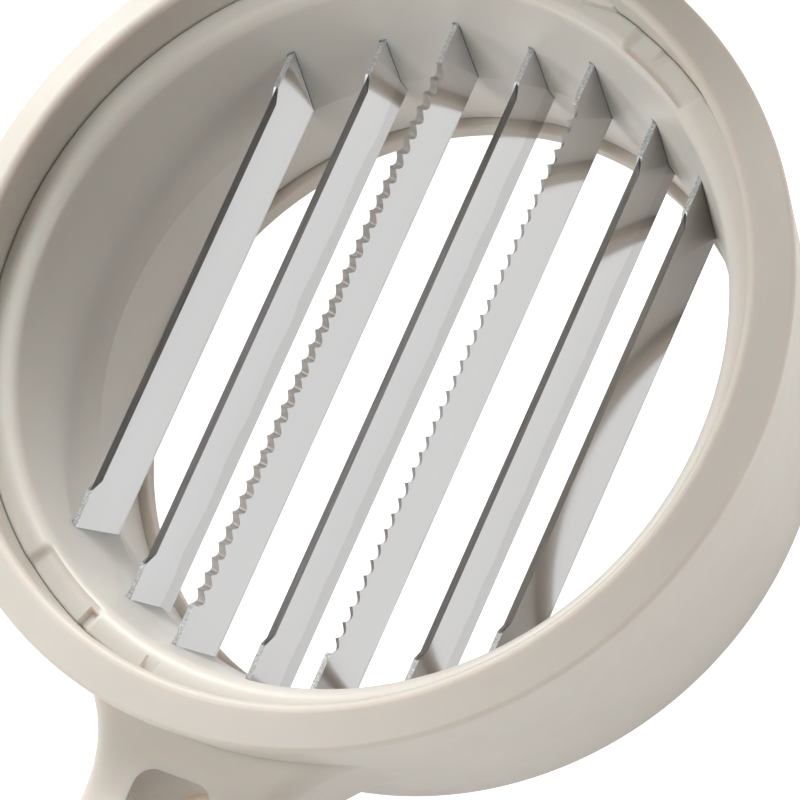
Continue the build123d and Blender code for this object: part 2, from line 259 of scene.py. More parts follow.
class ArmSizes(bpy.types.PropertyGroup):
    """Upper arm and pusher, in the closed press."""

    low: size("Low", "Under face of the closed arm above the foot", 31 * MM)
    thickness: size("Thickness", "Thickness of the upper arm", 9 * MM)
    land: size("Land", "Width of the ring round the pusher's plate", 3.5 * MM)
    recess: size("Recess", "Depth of the seat for the plate", 2.5 * MM)
    flange: size("Flange", "Width of the plate's flange", 2.2 * MM)
    top_round: size("Top round", "Round of the ring's upper edge", 2.4 * MM)
    low_round: size("Low round", "Round of the ring's lower edge", 0.7 * MM)
    handle_sink: size("Handle sink", "Handle's faces inside those of the ring", 0.05 * MM)
    handle_round: size("Handle round", "Round of the handle's upper edges", 1.75 * MM)
    slot_round: size("Slot round", "Round of the upper slot's edges", 0.4 * MM)
    seat_round: size("Seat round", "Round of the seat's upper edge", 0.4 * MM)
    root_margin: size("Root margin", "Handle's root outside the seat", 0.5 * MM)
    clearance: size("Clearance", "Gap round the plate", 0.2 * MM)
    plate_round: size("Plate round", "Round of the plate's upper edge", 0.5 * MM)
    plate: size("Plate", "Thickness of the pusher's plate", 4 * MM)
    tongue_root: size("Tongue root", "Start of the tongue inside the ring's edge", 5 * MM)
    tongue_drop: size("Tongue drop", "Tongue's root below the arm's top", 1.5 * MM)
    fin_count: tally("Fins", "Number of fins, one more than blades", len(BLADES) + 1)
    fin_pitch: size("Fin pitch", "Spacing of fins and blades", 7 * MM)
    fin_thickness: size("Fin thickness", "Thickness of a fin", 4.2 * MM)
    fin_circle: size("Fin circle", "Radius that all fins stay inside", 27.96 * MM)
    fin_low: size("Fin low", "Lowest point of a fin in the closed press", 6 * MM)
    fin_hollow: size("Fin hollow", "Rise of a fin's hollow lower edge", 3 * MM)
    core_width: size("Core width", "Width of the core slot over a fin", 1.8 * MM)
    core_margin: size("Core margin", "Core slot short of a fin's end", 3 * MM)
    core_corner: size("Core corner", "Corner radius of a core slot", 0.6 * MM)
    core_bevel: size("Core bevel", "Bevel of a core slot's upper edge", 0.2 * MM)
    fin_overlap: size("Fin overlap", "Roots of the fins inside the plate", 0.3 * MM)


class ToothSizes(bpy.types.PropertyGroup):
    """Teeth of the two toothed blades."""

    count: tally("Teeth", "Number of gullets along a blade", 36)
    pitch: size("Pitch", "Spacing of the teeth", 1.5 * MM)
    setback: size("Setback", "Tips below the top of the strip", 0.08 * MM)
    step_run: size("Step run", "Run of the step from the plain ends to the teeth", 0.02 * MM)
    depth: size("Depth", "Depth of a gullet on the far side", 0.85 * MM)
    lean: size("Lean", "Extra depth of a gullet on the ground side", 0.25 * MM)
    bevel_drop: size("Bevel drop", "Drop of the one-sided bevel across the strip", 0.4 * MM)
    steps: tally("Steps", "Rows of faces along one tooth", 24)


class FinishColours(bpy.types.PropertyGroup):
    """Colours of the moulded plastic and the steel."""

    frame_plastic: tint("Frame plastic", "Warm grey of the two arms", (0.665, 0.605, 0.535))
    frame_shade: tint("Frame shade", "Darker clouds in the arms' plastic", (0.64, 0.58, 0.51))
    insert_plastic: tint("Insert plastic", "Paler grey of insert and pusher", (0.73, 0.678, 0.617))
    insert_shade: tint("Insert shade", "Darker clouds in the insert's plastic", (0.705, 0.653, 0.592))
    steel: tint("Steel", "Rolled face of the blades", (0.64, 0.635, 0.635))
    steel_band: tint("Steel band", "Duller band low on the blades' faces", (0.565, 0.56, 0.555))
    # Painted light: the dark colour on the ground bevels is a painted dark reflection, and in the gullets it is painted
    # shade.
    steel_painted_dark_reflection: tint("Painted dark steel", "Painted dark reflection on the ground bevels, and painted shade in the gullets", (0.2, 0.18, 0.178))
    # Painted light: the bright colour on the toothed blades' ground edge is a painted bright reflection.
    steel_painted_bright_reflection: tint("Tooth steel", "Painted bright reflection on the ground edge of the toothed blades", (0.88, 0.83, 0.80))
    # Partly painted light: the white specks on the torn ends are painted glints; the grain they bump is real.
    steel_painted_glints: tint("Cut steel", "Painted glints as bright specks on the torn ends", (0.95, 0.94, 0.93))


class StageSettings(bpy.types.PropertyGroup):
    """Camera and light of the studio."""

    camera_place: FloatVectorProperty(
        name="Camera place", description="Position of the camera", default=(0.19970, -0.10259, 0.42464), unit="LENGTH"
    )
    camera_right: FloatVectorProperty(
        name="Camera right", description="Direction of the picture's right side", default=(0.8591, 0.4006, -0.3187)
    )
    camera_down: FloatVectorProperty(
        name="Camera down", description="Direction of the picture's lower side", default=(0.2837, -0.8908, -0.3550)
    )
    camera_near: size("Camera near", "Nearest point that the camera sees", 10 * MM)
    focal_pixels: amount("Focal length", "In pixels of the picture", 5258.8)
    picture_side: amount("Picture side", "Side of the square picture in pixels", 800.0)
    floor_glow: amount("Floor glow", "Brightness of the floor to the eye", 0.8)
    floor_lift: amount("Floor lift", "Extra brightness straight to the camera", 0.4)
    floor_bounce: amount("Floor bounce", "Light given to matt surfaces", 0.75)
    floor_warmth: tint("Floor warmth", "Colour of the light given to matt surfaces", (1, 0.97, 0.94))
    floor_dim: amount("Floor dim", "Share of that light left under the tool", 0.6)
    dim_start: amount("Dim start", "End of the dimmest floor, in half tools", 0.9)
    dim_end: amount("Dim end", "Start of the open floor, in half tools", 2.0)
    floor_colour: tint("Floor colour", "Colour that the floor shows in the lamps' light", (0.3, 0.3, 0.3))
    floor_size: size("Floor size", "Half side of the floor", 3.0)
    sky: amount("Sky", "Strength of the even light from all round", 0.16)
    lamp_scale: amount("Lamp scale", "Power of all the lamps together", 1.0)
    lamp_colour: tint("Lamp colour", "Colour of the lamps' light", (0.94, 0.98, 1.0))
    lamp_distance: size("Lamp distance", "Distance of the lamps", 1.8)
    lamp_side: size("Lamp side", "Side of each square lamp", 0.55)


# Outlines and solids


def arc(centre, radius, start, end, steps):
    """Points along an arc between two angles."""
    turns = (start + (end - start) * i / steps for i in range(steps + 1))
    return [Vector((centre[0] + radius * cos(t), centre[1] + radius * sin(t))) for t in turns]


def rounded(corners, steps=7):
    """Closed outline through corners (x, y, radius), each turned by an arc of its own radius."""
    path = []
    for i, (x, y, radius) in enumerate(corners):
        here = Vector((x, y))
        if radius == 0:
            path.append(here)
            continue
        back = (Vector(corners[i - 1][:2]) - here).normalized()
        ahead = (Vector(corners[(i + 1) % len(corners)][:2]) - here).normalized()
        half = back.angle(ahead) / 2
        centre = here + (back + ahead).normalized() * (radius / sin(half))
        first = here + back * (radius / tan(half)) - centre
        last = here + ahead * (radius / tan(half)) - centre
        start = atan2(first.y, first.x)
        turn = (atan2(last.y, last.x) - start + pi) % (2 * pi) - pi
        path += arc(centre, radius, start, start + turn, steps)
    return path


def turned(name, outline, segments):
    """An object from an outline (radius, height) turned about Z."""
    body = bmesh.new()
    turns = [2 * pi * i / segments for i in range(segments)]
    rings = [[body.verts.new((p.x * cos(t), p.x * sin(t), p.y)) for p in outline] for t in turns]
    for here, there in zip(rings, rings[1:] + rings[:1]):
        for i in range(len(outline)):
            body.faces.new((here[i - 1], there[i - 1], there[i], here[i]))
    return as_object(name, body)


def shifted(loop, inset, fixed=()):
    """A closed loop moved inwards by an inset; fixed points stay, and the sides that meet them don't tilt."""
    total = len(loop)
    moved = []
    for i, here in enumerate(loop):
        if i in fixed:
            moved.append(here)
            continue
        a = (here - loop[i - 1]).normalized()
        b = (loop[(i + 1) % total] - here).normalized()
        if (i - 1) % total in fixed:
            a = b
        if (i + 1) % total in fixed:
            b = a
        inward = Vector((-a.y - b.y, a.x + b.x)).normalized()
        moved.append(here + inward * (inset / max(CORNER_LIMIT, inward.dot(Vector((-a.y, a.x))))))
    return moved


def slab(body, outline, layers, holes=(), hole_layers=(), fixed=(), place=None):
    """Adds a closed solid: the outline at each layer (inset, height), with holes at theirs, and filled ends."""
    place = place or (lambda x, y, z: (x, y, z))
    ends = ([], [])
    for loop, steps, held in [(outline, layers, fixed)] + [(h, hole_layers, ()) for h in holes]:
        rings = [
            [body.verts.new(place(p.x, p.y, height)) for p in shifted(loop, inset, held)] for inset, height in steps
        ]
        for here, there in zip(rings, rings[1:]):
            for i in range(len(loop)):
                body.faces.new((here[i - 1], here[i], there[i], there[i - 1]))
        for end, ring in zip(ends, (rings[0], rings[-1])):
            end += [body.edges.get((ring[i - 1], ring[i])) for i in range(len(ring))]
    for end in ends:
        bmesh.ops.triangle_fill(body, use_beauty=True, use_dissolve=False, edges=end)


def solid(name, *plan, **more):
    """An object from one slab."""
    body = bmesh.new()
    slab(body, *plan, **more)
    return as_object(name, body)


def soft_layers(low, high, low_round, high_round, draft=0.0, steps=6):
    """Layers (inset, height) of a solid with rounded edges, drafted inwards from its high end."""
    slope = tan(draft)
    path = []
    for i in range(steps + 1):
        t = pi / 2 * i / steps
        path.append((low_round * (1 - sin(t)), low + low_round * (1 - cos(t))))
    for i in range(steps + 1):
        t = pi / 2 * i / steps
        path.append((high_round * (1 - cos(t)), high - high_round * (1 - sin(t))))
    return [(inset + (high - height) * slope, height) for inset, height in path]


def along_x(u, v, w):
    """Stands a plan up in the YZ plane, with its thickness along X."""
    return (w, u, v)


def as_object(name, body):
    """A scene object from an edited mesh, with doubled points merged and all faces turned outwards."""
    bmesh.ops.remove_doubles(body, verts=body.verts, dist=MERGE_DISTANCE)
    bmesh.ops.recalc_face_normals(body, faces=body.faces)
    mesh = bpy.data.meshes.new(name)
    body.to_mesh(mesh)
    body.free()
    made = bpy.data.objects.new(name, mesh)
    bpy.context.scene.collection.objects.link(made)
    return made


def settle(made):
    """Turns an object's modifiers into plain mesh."""
    depsgraph = bpy.context.evaluated_depsgraph_get()
    mesh = bpy.data.meshes.new_from_object(made.evaluated_get(depsgraph), depsgraph=depsgraph)
    old = made.data
    made.modifiers.clear()
    made.data = mesh
    bpy.data.meshes.remove(old)
    return made


def combine(made, other, operation):
    """Joins another solid to an object, or cuts it away."""
    cut = made.modifiers.new("combine", "BOOLEAN")
    cut.operation = operation
    cut.solver = "EXACT"
    cut.object = other
    bpy.context.view_layer.update()
    settle(made)
    mesh = other.data
    bpy.data.objects.remove(other)
    bpy.data.meshes.remove(mesh)
    return made


def smooth_faces(made):
    """Smooth shading of rounded edges, with flat faces kept flat."""
    made.data.shade_smooth()
    made.data.set_sharp_from_angle(angle=SHARP_EDGE)
    soften = made.modifiers.new("soften", "WEIGHTED_NORMAL")
    soften.keep_sharp = True
    bpy.context.view_layer.update()
    return settle(made)


def set_finish(made, finish):
    """Gives an object one named material."""
    made.data.materials.clear()
    made.data.materials.append(bpy.data.materials[finish])


def finish_piece(made, finish, body, node):
    """Finish and carrier of a piece that stands for a CAD node."""
    set_finish(made, finish)
    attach(made, body)
    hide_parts(node)


def handle_outline(sizes, collar, root):
    """Handle plan from inside the ring's wall to its round tip, and which of its points lie in the wall."""
    grip = sizes.grip_width / 2
    neck = sizes.neck_width / 2
    tail = sizes.reach - grip
    flare_x = neck + sizes.neck_flare
    flare_y = sqrt((collar - sizes.neck_sink + sizes.neck_flare) ** 2 - flare_x**2)
    lean = atan2(flare_y, -flare_x)
    side = arc((flare_x, -flare_y), sizes.neck_flare, lean, pi, FLARE_STEPS)
    for i in range(1, SIDE_STEPS):
        t = i / SIDE_STEPS
        swell = 2 * t * t if t < 0.5 else 1 - 2 * (1 - t) ** 2
        side.append(Vector((neck + (grip - neck) * swell, -flare_y + (flare_y - tail) * t)))
    tip = arc((0, -tail), grip, 0, -pi, TIP_STEPS)
    spread = asin(min(1.0, side[0].x / root))
    wall = arc((0, 0), root, -pi / 2 - spread, -pi / 2 + spread, ROOT_STEPS)
    left = [Vector((-p.x, p.y)) for p in reversed(side)]
    outline = wall + side + tip + left
    outline.reverse()
    inside = range(len(outline) - len(wall), len(outline))
    return outline, set(inside)


def handle_solid(sizes, collar, root, layers, slot_layers):
    """A handle with its slot, from its layers and those of the slot."""
    outline, inside = handle_outline(sizes, collar, root)
    half = sizes.slot_width / 2
    near = -collar - sizes.slot_land
    far = near - sizes.slot_length
    r = sizes.slot_corner
    slot = rounded([(half, near, r), (half, far, r), (-half, far, r), (-half, near, r)], SLOT_STEPS)
    return solid("handle", outline, layers, [slot], [(-inset, height) for inset, height in slot_layers], inside)


def hull(corners, radius, steps):
    """Outline round some corners and a circle about the hinge."""
    points = corners + arc((HINGE.y, HINGE.z), radius, 0, 2 * pi, steps)[:-1]
    return [points[i] for i in geometry.convex_hull_2d(points)]


def bore_outline(radius):
    """Hole about the hinge, in the direction of a hole's outline."""
    return arc((HINGE.y, HINGE.z), radius, 0, -2 * pi, BORE_STEPS)[:-1]


# Finishes


def feed(tree, socket, value):
    """Sets a socket to a number or a colour, or links another socket to it."""
    if isinstance(value, bpy.types.NodeSocket):
        tree.links.new(value, socket)
    else:
        socket.default_value = (*value, 1) if socket.type == "RGBA" else value


def wire(tree, node, *values, **named):
    """Feeds a node's sockets, in their order or by their names."""
    for socket, value in zip(node.inputs, values):
        feed(tree, socket, value)
    for label, value in named.items():
        feed(tree, node.inputs[label.replace("_", " ")], value)
    return node


def new_node(tree, kind, *values, **named):
    """A node with its sockets fed."""
    return wire(tree, tree.nodes.new(kind), *values, **named)


def object_place(tree):
    """Object coordinates."""
    return new_node(tree, "ShaderNodeTexCoord").outputs["Object"]


def noise_node(tree, vector, scale, detail, rough=0.5):
    """A noise texture on a vector."""
    node = new_node(tree, "ShaderNodeTexNoise", Vector=vector, Scale=scale, Detail=detail, Roughness=rough)
    return node.outputs["Fac"]


def ramp_node(tree, value, low, high, start=0.0):
    """A value spread from a range onto the stretch from a start to one."""
    node = new_node(tree, "ShaderNodeMapRange", Value=value, From_Min=low, From_Max=high, To_Min=start)
    return node.outputs["Result"]


def bump_node(tree, height, strength, distance):
    """A bump from a height."""
    return new_node(tree, "ShaderNodeBump", Height=height, Strength=strength, Distance=distance).outputs["Normal"]


def vector_node(tree, *values):
    """A vector from three values."""
    return new_node(tree, "ShaderNodeCombineXYZ", *values).outputs[0]


def split_node(tree, vector):
    """The three values of a vector."""
    return new_node(tree, "ShaderNodeSeparateXYZ", vector).outputs


def math_node(tree, operation, *values, kind="ShaderNodeMath"):
    """One sum of values or vectors."""
    node = tree.nodes.new(kind)
    node.operation = operation
    return wire(tree, node, *values).outputs[0]


def mixed(tree, factor, first, second):
    """A colour between two, each a colour or a socket, by a mask."""
    node = tree.nodes.new("ShaderNodeMix")
    node.data_type = "RGBA"
    for socket, value in zip((node.inputs[0], *node.inputs[6:8]), (factor, first, second)):
        feed(tree, socket, value)
    return node.outputs[2]


def group_of(name, outputs, inputs):
    """An empty shader node group with named sockets, and its two ends."""
    tree = bpy.data.node_groups.new(name, "ShaderNodeTree")
    for label, default in inputs:
        tree.interface.new_socket(label, in_out="INPUT", socket_type="NodeSocketFloat").default_value = default
    for label in outputs:
        tree.interface.new_socket(label, in_out="OUTPUT", socket_type="NodeSocketFloat")
    return tree, tree.nodes.new("NodeGroupInput").outputs, tree.nodes.new("NodeGroupOutput")


def moulded_grain():
    """Broad clouds, fine spark-eroded grain and polish streaks of a moulded surface."""
    scales = (("Cloud scale", 90), ("Grain scale", 2600), ("Streak scale", 420))
    tree, given, out = group_of("Moulded grain", ("Clouds", "Grain", "Streaks"), scales)
    place = object_place(tree)
    clouds = noise_node(tree, place, given["Cloud scale"], detail=3)
    streaks = noise_node(tree, place, given["Streak scale"], detail=4)
    wire(
        tree,
        out,
        Clouds=ramp_node(tree, clouds, low=0.3, high=0.7),
        Grain=noise_node(tree, place, given["Grain scale"], detail=2, rough=0.6),
        Streaks=ramp_node(tree, streaks, low=0.25, high=0.75),
    )


def drawn_lines():
    """Fine lines left by rolling or turning, stretched by how many fit in a metre along each axis."""
    axes = (("Lines X", 9000), ("Lines Y", 260), ("Lines Z", 9000))
    tree, given, out = group_of("Drawn lines", ("Lines",), axes)
    spread = vector_node(tree, *(given[label] for label, _ in axes))
    stretched = math_node(tree, "MULTIPLY", object_place(tree), spread, kind="ShaderNodeVectorMath")
    wire(tree, out, Lines=noise_node(tree, stretched, scale=1.0, detail=3))


def new_material(name, roughness, metallic=0.0):
    """The tree and the Principled shader of a new material."""
    material = bpy.data.materials.new(name)
    material.use_nodes = True
    tree = material.node_tree
    return tree, wire(tree, tree.nodes["Principled BSDF"], Roughness=roughness, Metallic=metallic)


def place_group(tree, name, **values):
    """A shared node group placed in a material with the material's own values."""
    node = tree.nodes.new("ShaderNodeGroup")
    node.node_tree = bpy.data.node_groups[name]
    return wire(tree, node, **values).outputs


def plastic(name, colour, shade, roughness, grain, **scales):
    """Moulded plastic that lets a little light in."""
    tree, shader = new_material(name, roughness)
    surface = place_group(tree, "Moulded grain", **scales)
    smoothest = roughness - POLISH_CHANGE / 2
    wire(
        tree,
        shader,
        Base_Color=mixed(tree, surface["Clouds"], shade, colour),
        Roughness=math_node(tree, "MULTIPLY_ADD", surface["Streaks"], POLISH_CHANGE, smoothest),
        Normal=bump_node(tree, surface["Grain"], grain, GRAIN_DEPTH),
        IOR=PLASTIC_IOR,
        Subsurface_Weight=SCATTER_SHARE,
        Subsurface_Radius=SCATTER_REACH,
        Subsurface_Scale=SCATTER_SCALE,
    )


def blade_steel(name, colours, bevel):
    """Bright rolled strip with ground bevels, gullets, torn speckled ends and a dull wavy band low on the face; the
    bevels carry a painted reflection, the gullets painted shade and the torn ends painted glints.
    """
    tree, shader = new_material(name, roughness=0.1, metallic=1.0)
    calc = partial(math_node, tree)
    lines = place_group(tree, "Drawn lines", Lines_X=9000, Lines_Y=260, Lines_Z=9000)["Lines"]
    place = object_place(tree)
    facing = split_node(tree, new_node(tree, "ShaderNodeNewGeometry").outputs["True Normal"])
    upward = ramp_node(tree, facing["Z"], *FACE_UP)
    sideways = ramp_node(tree, calc("ABSOLUTE", facing["X"]), *FACE_ASIDE)
    ground = calc("MULTIPLY", upward, sideways)
    torn = ramp_node(tree, facing["Z"], *FACE_TORN)
    gullet = calc("SUBTRACT", upward, calc("ADD", ground, torn))
    speckle = ramp_node(tree, noise_node(tree, place, scale=6500, detail=2, rough=0.7), low=0.35, high=0.65)
    wave = calc("MULTIPLY", noise_node(tree, place, scale=160, detail=3), BAND_WAVE)
    band = ramp_node(tree, calc("SUBTRACT", split_node(tree, place)["Z"], wave), *BAND_TOP)
    colour = mixed(tree, band, colours.steel, colours.steel_band)
    # Painted light: ground bevels get the painted reflection colour passed in, gullets a painted shade, torn ends
    # bright specks of painted glint.
    for mask, over in (
        (ground, mixed(tree, lines, bevel, colours.steel_band)),
        (gullet, mixed(tree, lines, colours.steel_painted_dark_reflection, colours.steel)),
        (torn, mixed(tree, speckle, colours.steel_band, colours.steel_painted_glints)),
    ):
        colour = mixed(tree, mask, colour, over)
    height = calc("MULTIPLY_ADD", lines, LINE_SHARE, calc("MULTIPLY", torn, speckle))
    wire(
        tree,
        shader,
        Base_Color=colour,
        # Torn ends lose metal so that their painted glint specks show as bright matt white.
        Metallic=calc("MULTIPLY_ADD", torn, -TORN_LOSS, 1.0),
        Roughness=calc("MULTIPLY_ADD", upward, GROUND_ROUGHNESS, ROLLED_ROUGHNESS),
        Normal=bump_node(tree, height, 1.0, STEEL_RELIEF),
    )


def pin_steel(name, colours):
    """Turned pin."""
    tree, shader = new_material(name, roughness=0.25, metallic=1.0)
    lines = place_group(tree, "Drawn lines", Lines_X=7000, Lines_Y=120, Lines_Z=120)["Lines"]
    colour = mixed(tree, lines, colours.steel_band, colours.steel)
    wire(tree, shader, Base_Color=colour, Normal=bump_node(tree, lines, strength=0.2, distance=0.02 * MM))


# Operators, one for each piece or group of like pieces


class SLICER_OT_finishes(bpy.types.Operator):
    """Make the plastics and steels"""

    bl_idname = "slicer.finishes"
    bl_label = "Finishes"

    def execute(self, context):
        colours = context.scene.slicer_colours
        moulded_grain()
        drawn_lines()
        arms = {"roughness": 0.42, "grain": 0.10, "Grain_scale": 2600}
        paler = {"roughness": 0.36, "grain": 0.08, "Grain_scale": 3400}
        plastic("frame_plastic_finish", colours.frame_plastic, colours.frame_shade, **arms)
        plastic("insert_plastic_finish", colours.insert_plastic, colours.insert_shade, **paler)
        # Bevels painted with a dark reflection on the straight blades and a bright one on the toothed blades.
        blade_steel("straight_steel_finish", colours, colours.steel_painted_dark_reflection)
        blade_steel("toothed_steel_finish", colours, colours.steel_painted_bright_reflection)
        pin_steel("pin_steel_finish", colours)
        return {"FINISHED"}


def wall_radius(ring, height):
    """Radius of the ring's drafted outer wall at a height."""
    return ring.rim_radius - (ring.height - ring.shoulder_drop - height) * tan(ring.wall_draft)


class SLICER_OT_blade_frame(bpy.types.Operator):
    """Build the lower arm: ring, handle, hinge ears and stop"""

    bl_idname = "slicer.blade_frame"
    bl_label = "Lower arm"

    def execute(self, context):
        ring = context.scene.slicer_ring
        insert = context.scene.slicer_insert
        handle = context.scene.slicer_handle
        made = self.ring_body(ring, insert)
        hinge = self.hinge_bodies(ring, context.scene.slicer_hinge)
        for part in [self.handle_body(ring, handle), *hinge]:
            combine(made, part, "UNION")
        finish_piece(smooth_faces(made), "frame_plastic_finish", "lower", "blade_frame")
        return {"FINISHED"}

    def ring_body(self, ring, insert):
        """Turned section of rim, wall and foot."""
        shoulder = ring.height - ring.shoulder_drop
        seat = HOLDER_HIGH.x + insert.clearance
        crest = shoulder + (ring.rim_radius - seat) * tan(ring.shoulder_angle)
        bore = insert.wall_radius + insert.clearance
        ledge = HOLDER_HIGH.z - insert.lip_thickness
        section = rounded([
            (ring.flange_radius, 0, ring.flange_round),
            (wall_radius(ring, 0), 0, ring.foot_round),
            (ring.rim_radius, shoulder, ring.shoulder_round),
            (seat, crest, ring.crest_round),
            (seat, ledge, 0),
            (bore, ledge, 0),
            (bore, ring.flange_thickness, 0),
            (ring.flange_radius, ring.flange_thickness, ring.flange_round),
        ])
        return turned("blade_frame_finish", section, RING_STEPS)

    def handle_body(self, ring, handle):
        """Handle with its slot, let into the ring's wall."""
        collar = wall_radius(ring, handle.top)
        root = HOLDER_HIGH.x - handle.root_depth
        low = handle.top - handle.thickness
        layers = soft_layers(low, handle.top, handle.under_round, handle.edge_round, ring.wall_draft)
        slot_layers = soft_layers(low, handle.top, handle.slot_under, handle.slot_round)
        return handle_solid(handle, collar, root, layers, slot_layers)

    def hinge_bodies(self, ring, hinge):
        """Two ears bored for the pin, and the stop between them."""
        root_y = wall_radius(ring, 0) - hinge.root_sink
        root_top = ring.height - hinge.root_drop
        stop_top = HINGE.z - hinge.knuckle_radius - hinge.stop_gap
        stop_end = HINGE.y + hinge.stop_reach
        corners = [Vector((root_y, root_top)), Vector((root_y, root_top - hinge.root_height))]
        corners += [Vector((stop_end, stop_top)), Vector((stop_end, stop_top - hinge.stop_thickness))]
        outline = hull(corners, hinge.ear_radius, EAR_STEPS)
        bore = bore_outline(hinge.pin_radius)
        depth = soft_layers(hinge.ear_inner, hinge.ear_outer, hinge.inner_round, hinge.ear_round)
        bevel = hinge.bore_bevel
        depth_bore = [(0, hinge.ear_inner), (0, hinge.ear_outer - bevel), (-bevel, hinge.ear_outer)]
        made = []
        for side in (-1, 1):
            layers, bores = ([(inset, side * x) for inset, x in steps] for steps in (depth, depth_bore))
            made.append(solid("ear", outline, layers, [bore], bores, place=along_x))
        bar = rounded([
            (root_y, stop_top, 0),
            (root_y, stop_top - hinge.stop_thickness, 0),
            (stop_end, stop_top - hinge.stop_thickness, hinge.edge_round),
            (stop_end, stop_top, hinge.edge_round),
        ])
        end = hinge.ear_inner + hinge.stop_overlap
        return [*made, solid("stop", bar, [(0, -end), (0, end)], place=along_x)]


class SLICER_OT_blade_holder(bpy.types.Operator):
    """Build the pale insert with its blade pockets and finger notches"""

    bl_idname = "slicer.blade_holder"
    bl_label = "Insert"

    def execute(self, context):
        insert = context.scene.slicer_insert
        slope = tan(insert.funnel_draft)
        lip = HOLDER_HIGH.z
        mouth = HOLDER_HIGH.x - insert.lip_width
        throat = mouth - (lip - insert.throat_height) * slope
        ledge = lip - insert.lip_thickness
        section = rounded([
            (throat, HOLDER_LOW.z, insert.foot_round),
            (insert.wall_radius, HOLDER_LOW.z, insert.foot_round),
            (insert.wall_radius, ledge, 0),
            (HOLDER_HIGH.x, ledge, 0),
            (HOLDER_HIGH.x, lip, insert.lip_edge),
            (mouth, lip, insert.lip_round),
            (throat, insert.throat_height, insert.throat_round),
        ])
        made = turned("blade_holder_finish", section, INSERT_STEPS)
        for vertex in made.data.vertices:
            self.sink_notch(vertex.co, insert, lip, mouth)
            for mark in LIP_MARKS:
                self.sink_mark(vertex.co, lip - insert.mark_floor, *mark)
        made = combine(made, self.pockets(insert), "DIFFERENCE")
        finish_piece(smooth_faces(made), "insert_plastic_finish", "lower", "blade_holder")
        return {"FINISHED"}

    def sink_notch(self, point, insert, lip, mouth):
        """Lowers the lip's top where a finger notch lies, with soft ends."""
        away = (atan2(point.y, point.x) - insert.notch_angle + pi / 2) % pi - pi / 2
        run = insert.notch_width / 2 - abs(away) * HOLDER_HIGH.x
        end = min(1.0, max(0.0, run / insert.notch_ramp + 0.5))
        outside = point.xy.length - mouth - insert.notch_start
        inner = min(1.0, max(0.0, outside / insert.notch_run))
        top = min(1.0, max(0.0, (point.z - lip + insert.lip_thickness) / insert.lip_thickness))
        point.z -= insert.notch_depth * (end * end * (3 - 2 * end)) * (inner * inner * (3 - 2 * inner)) * top

    def sink_mark(self, point, floor, turn, half, reach, depth):
        """Dents the lip's outer edge at an angle, where the mould left a mark."""
        away = (atan2(point.y, point.x) - turn + pi) % (2 * pi) - pi
        inside = HOLDER_HIGH.x - point.xy.length
        if abs(away) * HOLDER_HIGH.x < half and inside < reach and point.z > floor:
            point.z -= depth

    def pockets(self, insert):
        """One long box for each blade, which cuts its two pockets."""
        body = bmesh.new()
        for node in BLADES:
            low, high = (Vector(corner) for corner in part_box(node))
            gap = insert.pocket_gap
            outline = [
                Vector((low.x - gap, low.y)),
                Vector((high.x + gap, low.y)),
                Vector((high.x + gap, high.y)),
                Vector((low.x - gap, high.y)),
            ]
            slab(body, outline, [(0, low.z - gap), (0, high.z + insert.headroom)])
        return as_object("pockets", body)


class SLICER_OT_straight_blades(bpy.types.Operator):
    """Give the straight blades their rolled and ground steel, with a painted dark reflection on the bevels"""

    bl_idname = "slicer.straight_blades"
    bl_label = "Straight blades"

    def execute(self, context):
        for node in BLADES:
            if node.startswith("straight"):
                set_finish(frame["nodes"][node], "straight_steel_finish")
        return {"FINISHED"}


class SLICER_OT_toothed_blades(bpy.types.Operator):
    """Build the toothed blades with round gullets and a bevel on the side turned to the middle"""

    bl_idname = "slicer.toothed_blades"
    bl_label = "Toothed blades"

    def execute(self, context):
        for node in BLADES:
            if node.startswith("serrated"):
                made = self.strip(node, context.scene.slicer_teeth)
                finish_piece(made, "toothed_steel_finish", "lower", node)
        return {"FINISHED"}

    def strip(self, node, teeth):
        """One strip, as rows of a four-cornered section along its length, its edge ground lower on one side."""
        low, high = (Vector(corner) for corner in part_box(node))
        middle = (low.x + high.x) / 2
        ground = (high.x - low.x) / 2 * (1 if middle < 0 else -1)
        reach = teeth.count * teeth.pitch / 2
        tip = high.z - teeth.setback
        plain = reach + teeth.step_run
        rows = [(low.y, high.z, high.z), (-plain, high.z, high.z)]
        for i in range(teeth.count * teeth.steps + 1):
            along = i / teeth.steps
            gullet = sin(pi * (along % 1.0))
            far = tip - teeth.depth * gullet
            near = tip - teeth.bevel_drop - (teeth.depth + teeth.lean) * gullet
            rows.append((along * teeth.pitch - reach, far, near))
        rows += [(plain, high.z, high.z), (high.y, high.z, high.z)]
        body = bmesh.new()
        rings = []
        for y, far, near in rows:
            corners = ((-ground, low.z), (-ground, far), (ground, near), (ground, low.z))
            rings.append([body.verts.new((middle + x, y, z)) for x, z in corners])
        for here, there in zip(rings, rings[1:]):
            for i in range(4):
                body.faces.new((here[i - 1], here[i], there[i], there[i - 1]))
        body.faces.new(rings[0])
        body.faces.new(rings[-1])
        return as_object(f"{node}_finish", body)


class SLICER_OT_hinge_pin(bpy.types.Operator):
    """Build the hinge pin with its rounded ends"""

    bl_idname = "slicer.hinge_pin"
    bl_label = "Hinge pin"

    def execute(self, context):
        hinge = context.scene.slicer_hinge
        outline = arc((HINGE.y, HINGE.z), hinge.pin_radius - hinge.pin_gap, 0, 2 * pi, BORE_STEPS)[:-1]
        layers = soft_layers(PIN_LOW.x, PIN_HIGH.x, hinge.pin_round, hinge.pin_round, steps=3)
        made = solid("hinge_pin_finish", outline, layers, place=along_x)
        finish_piece(smooth_faces(made), "pin_steel_finish", "lower", "hinge_pin")
        return {"FINISHED"}


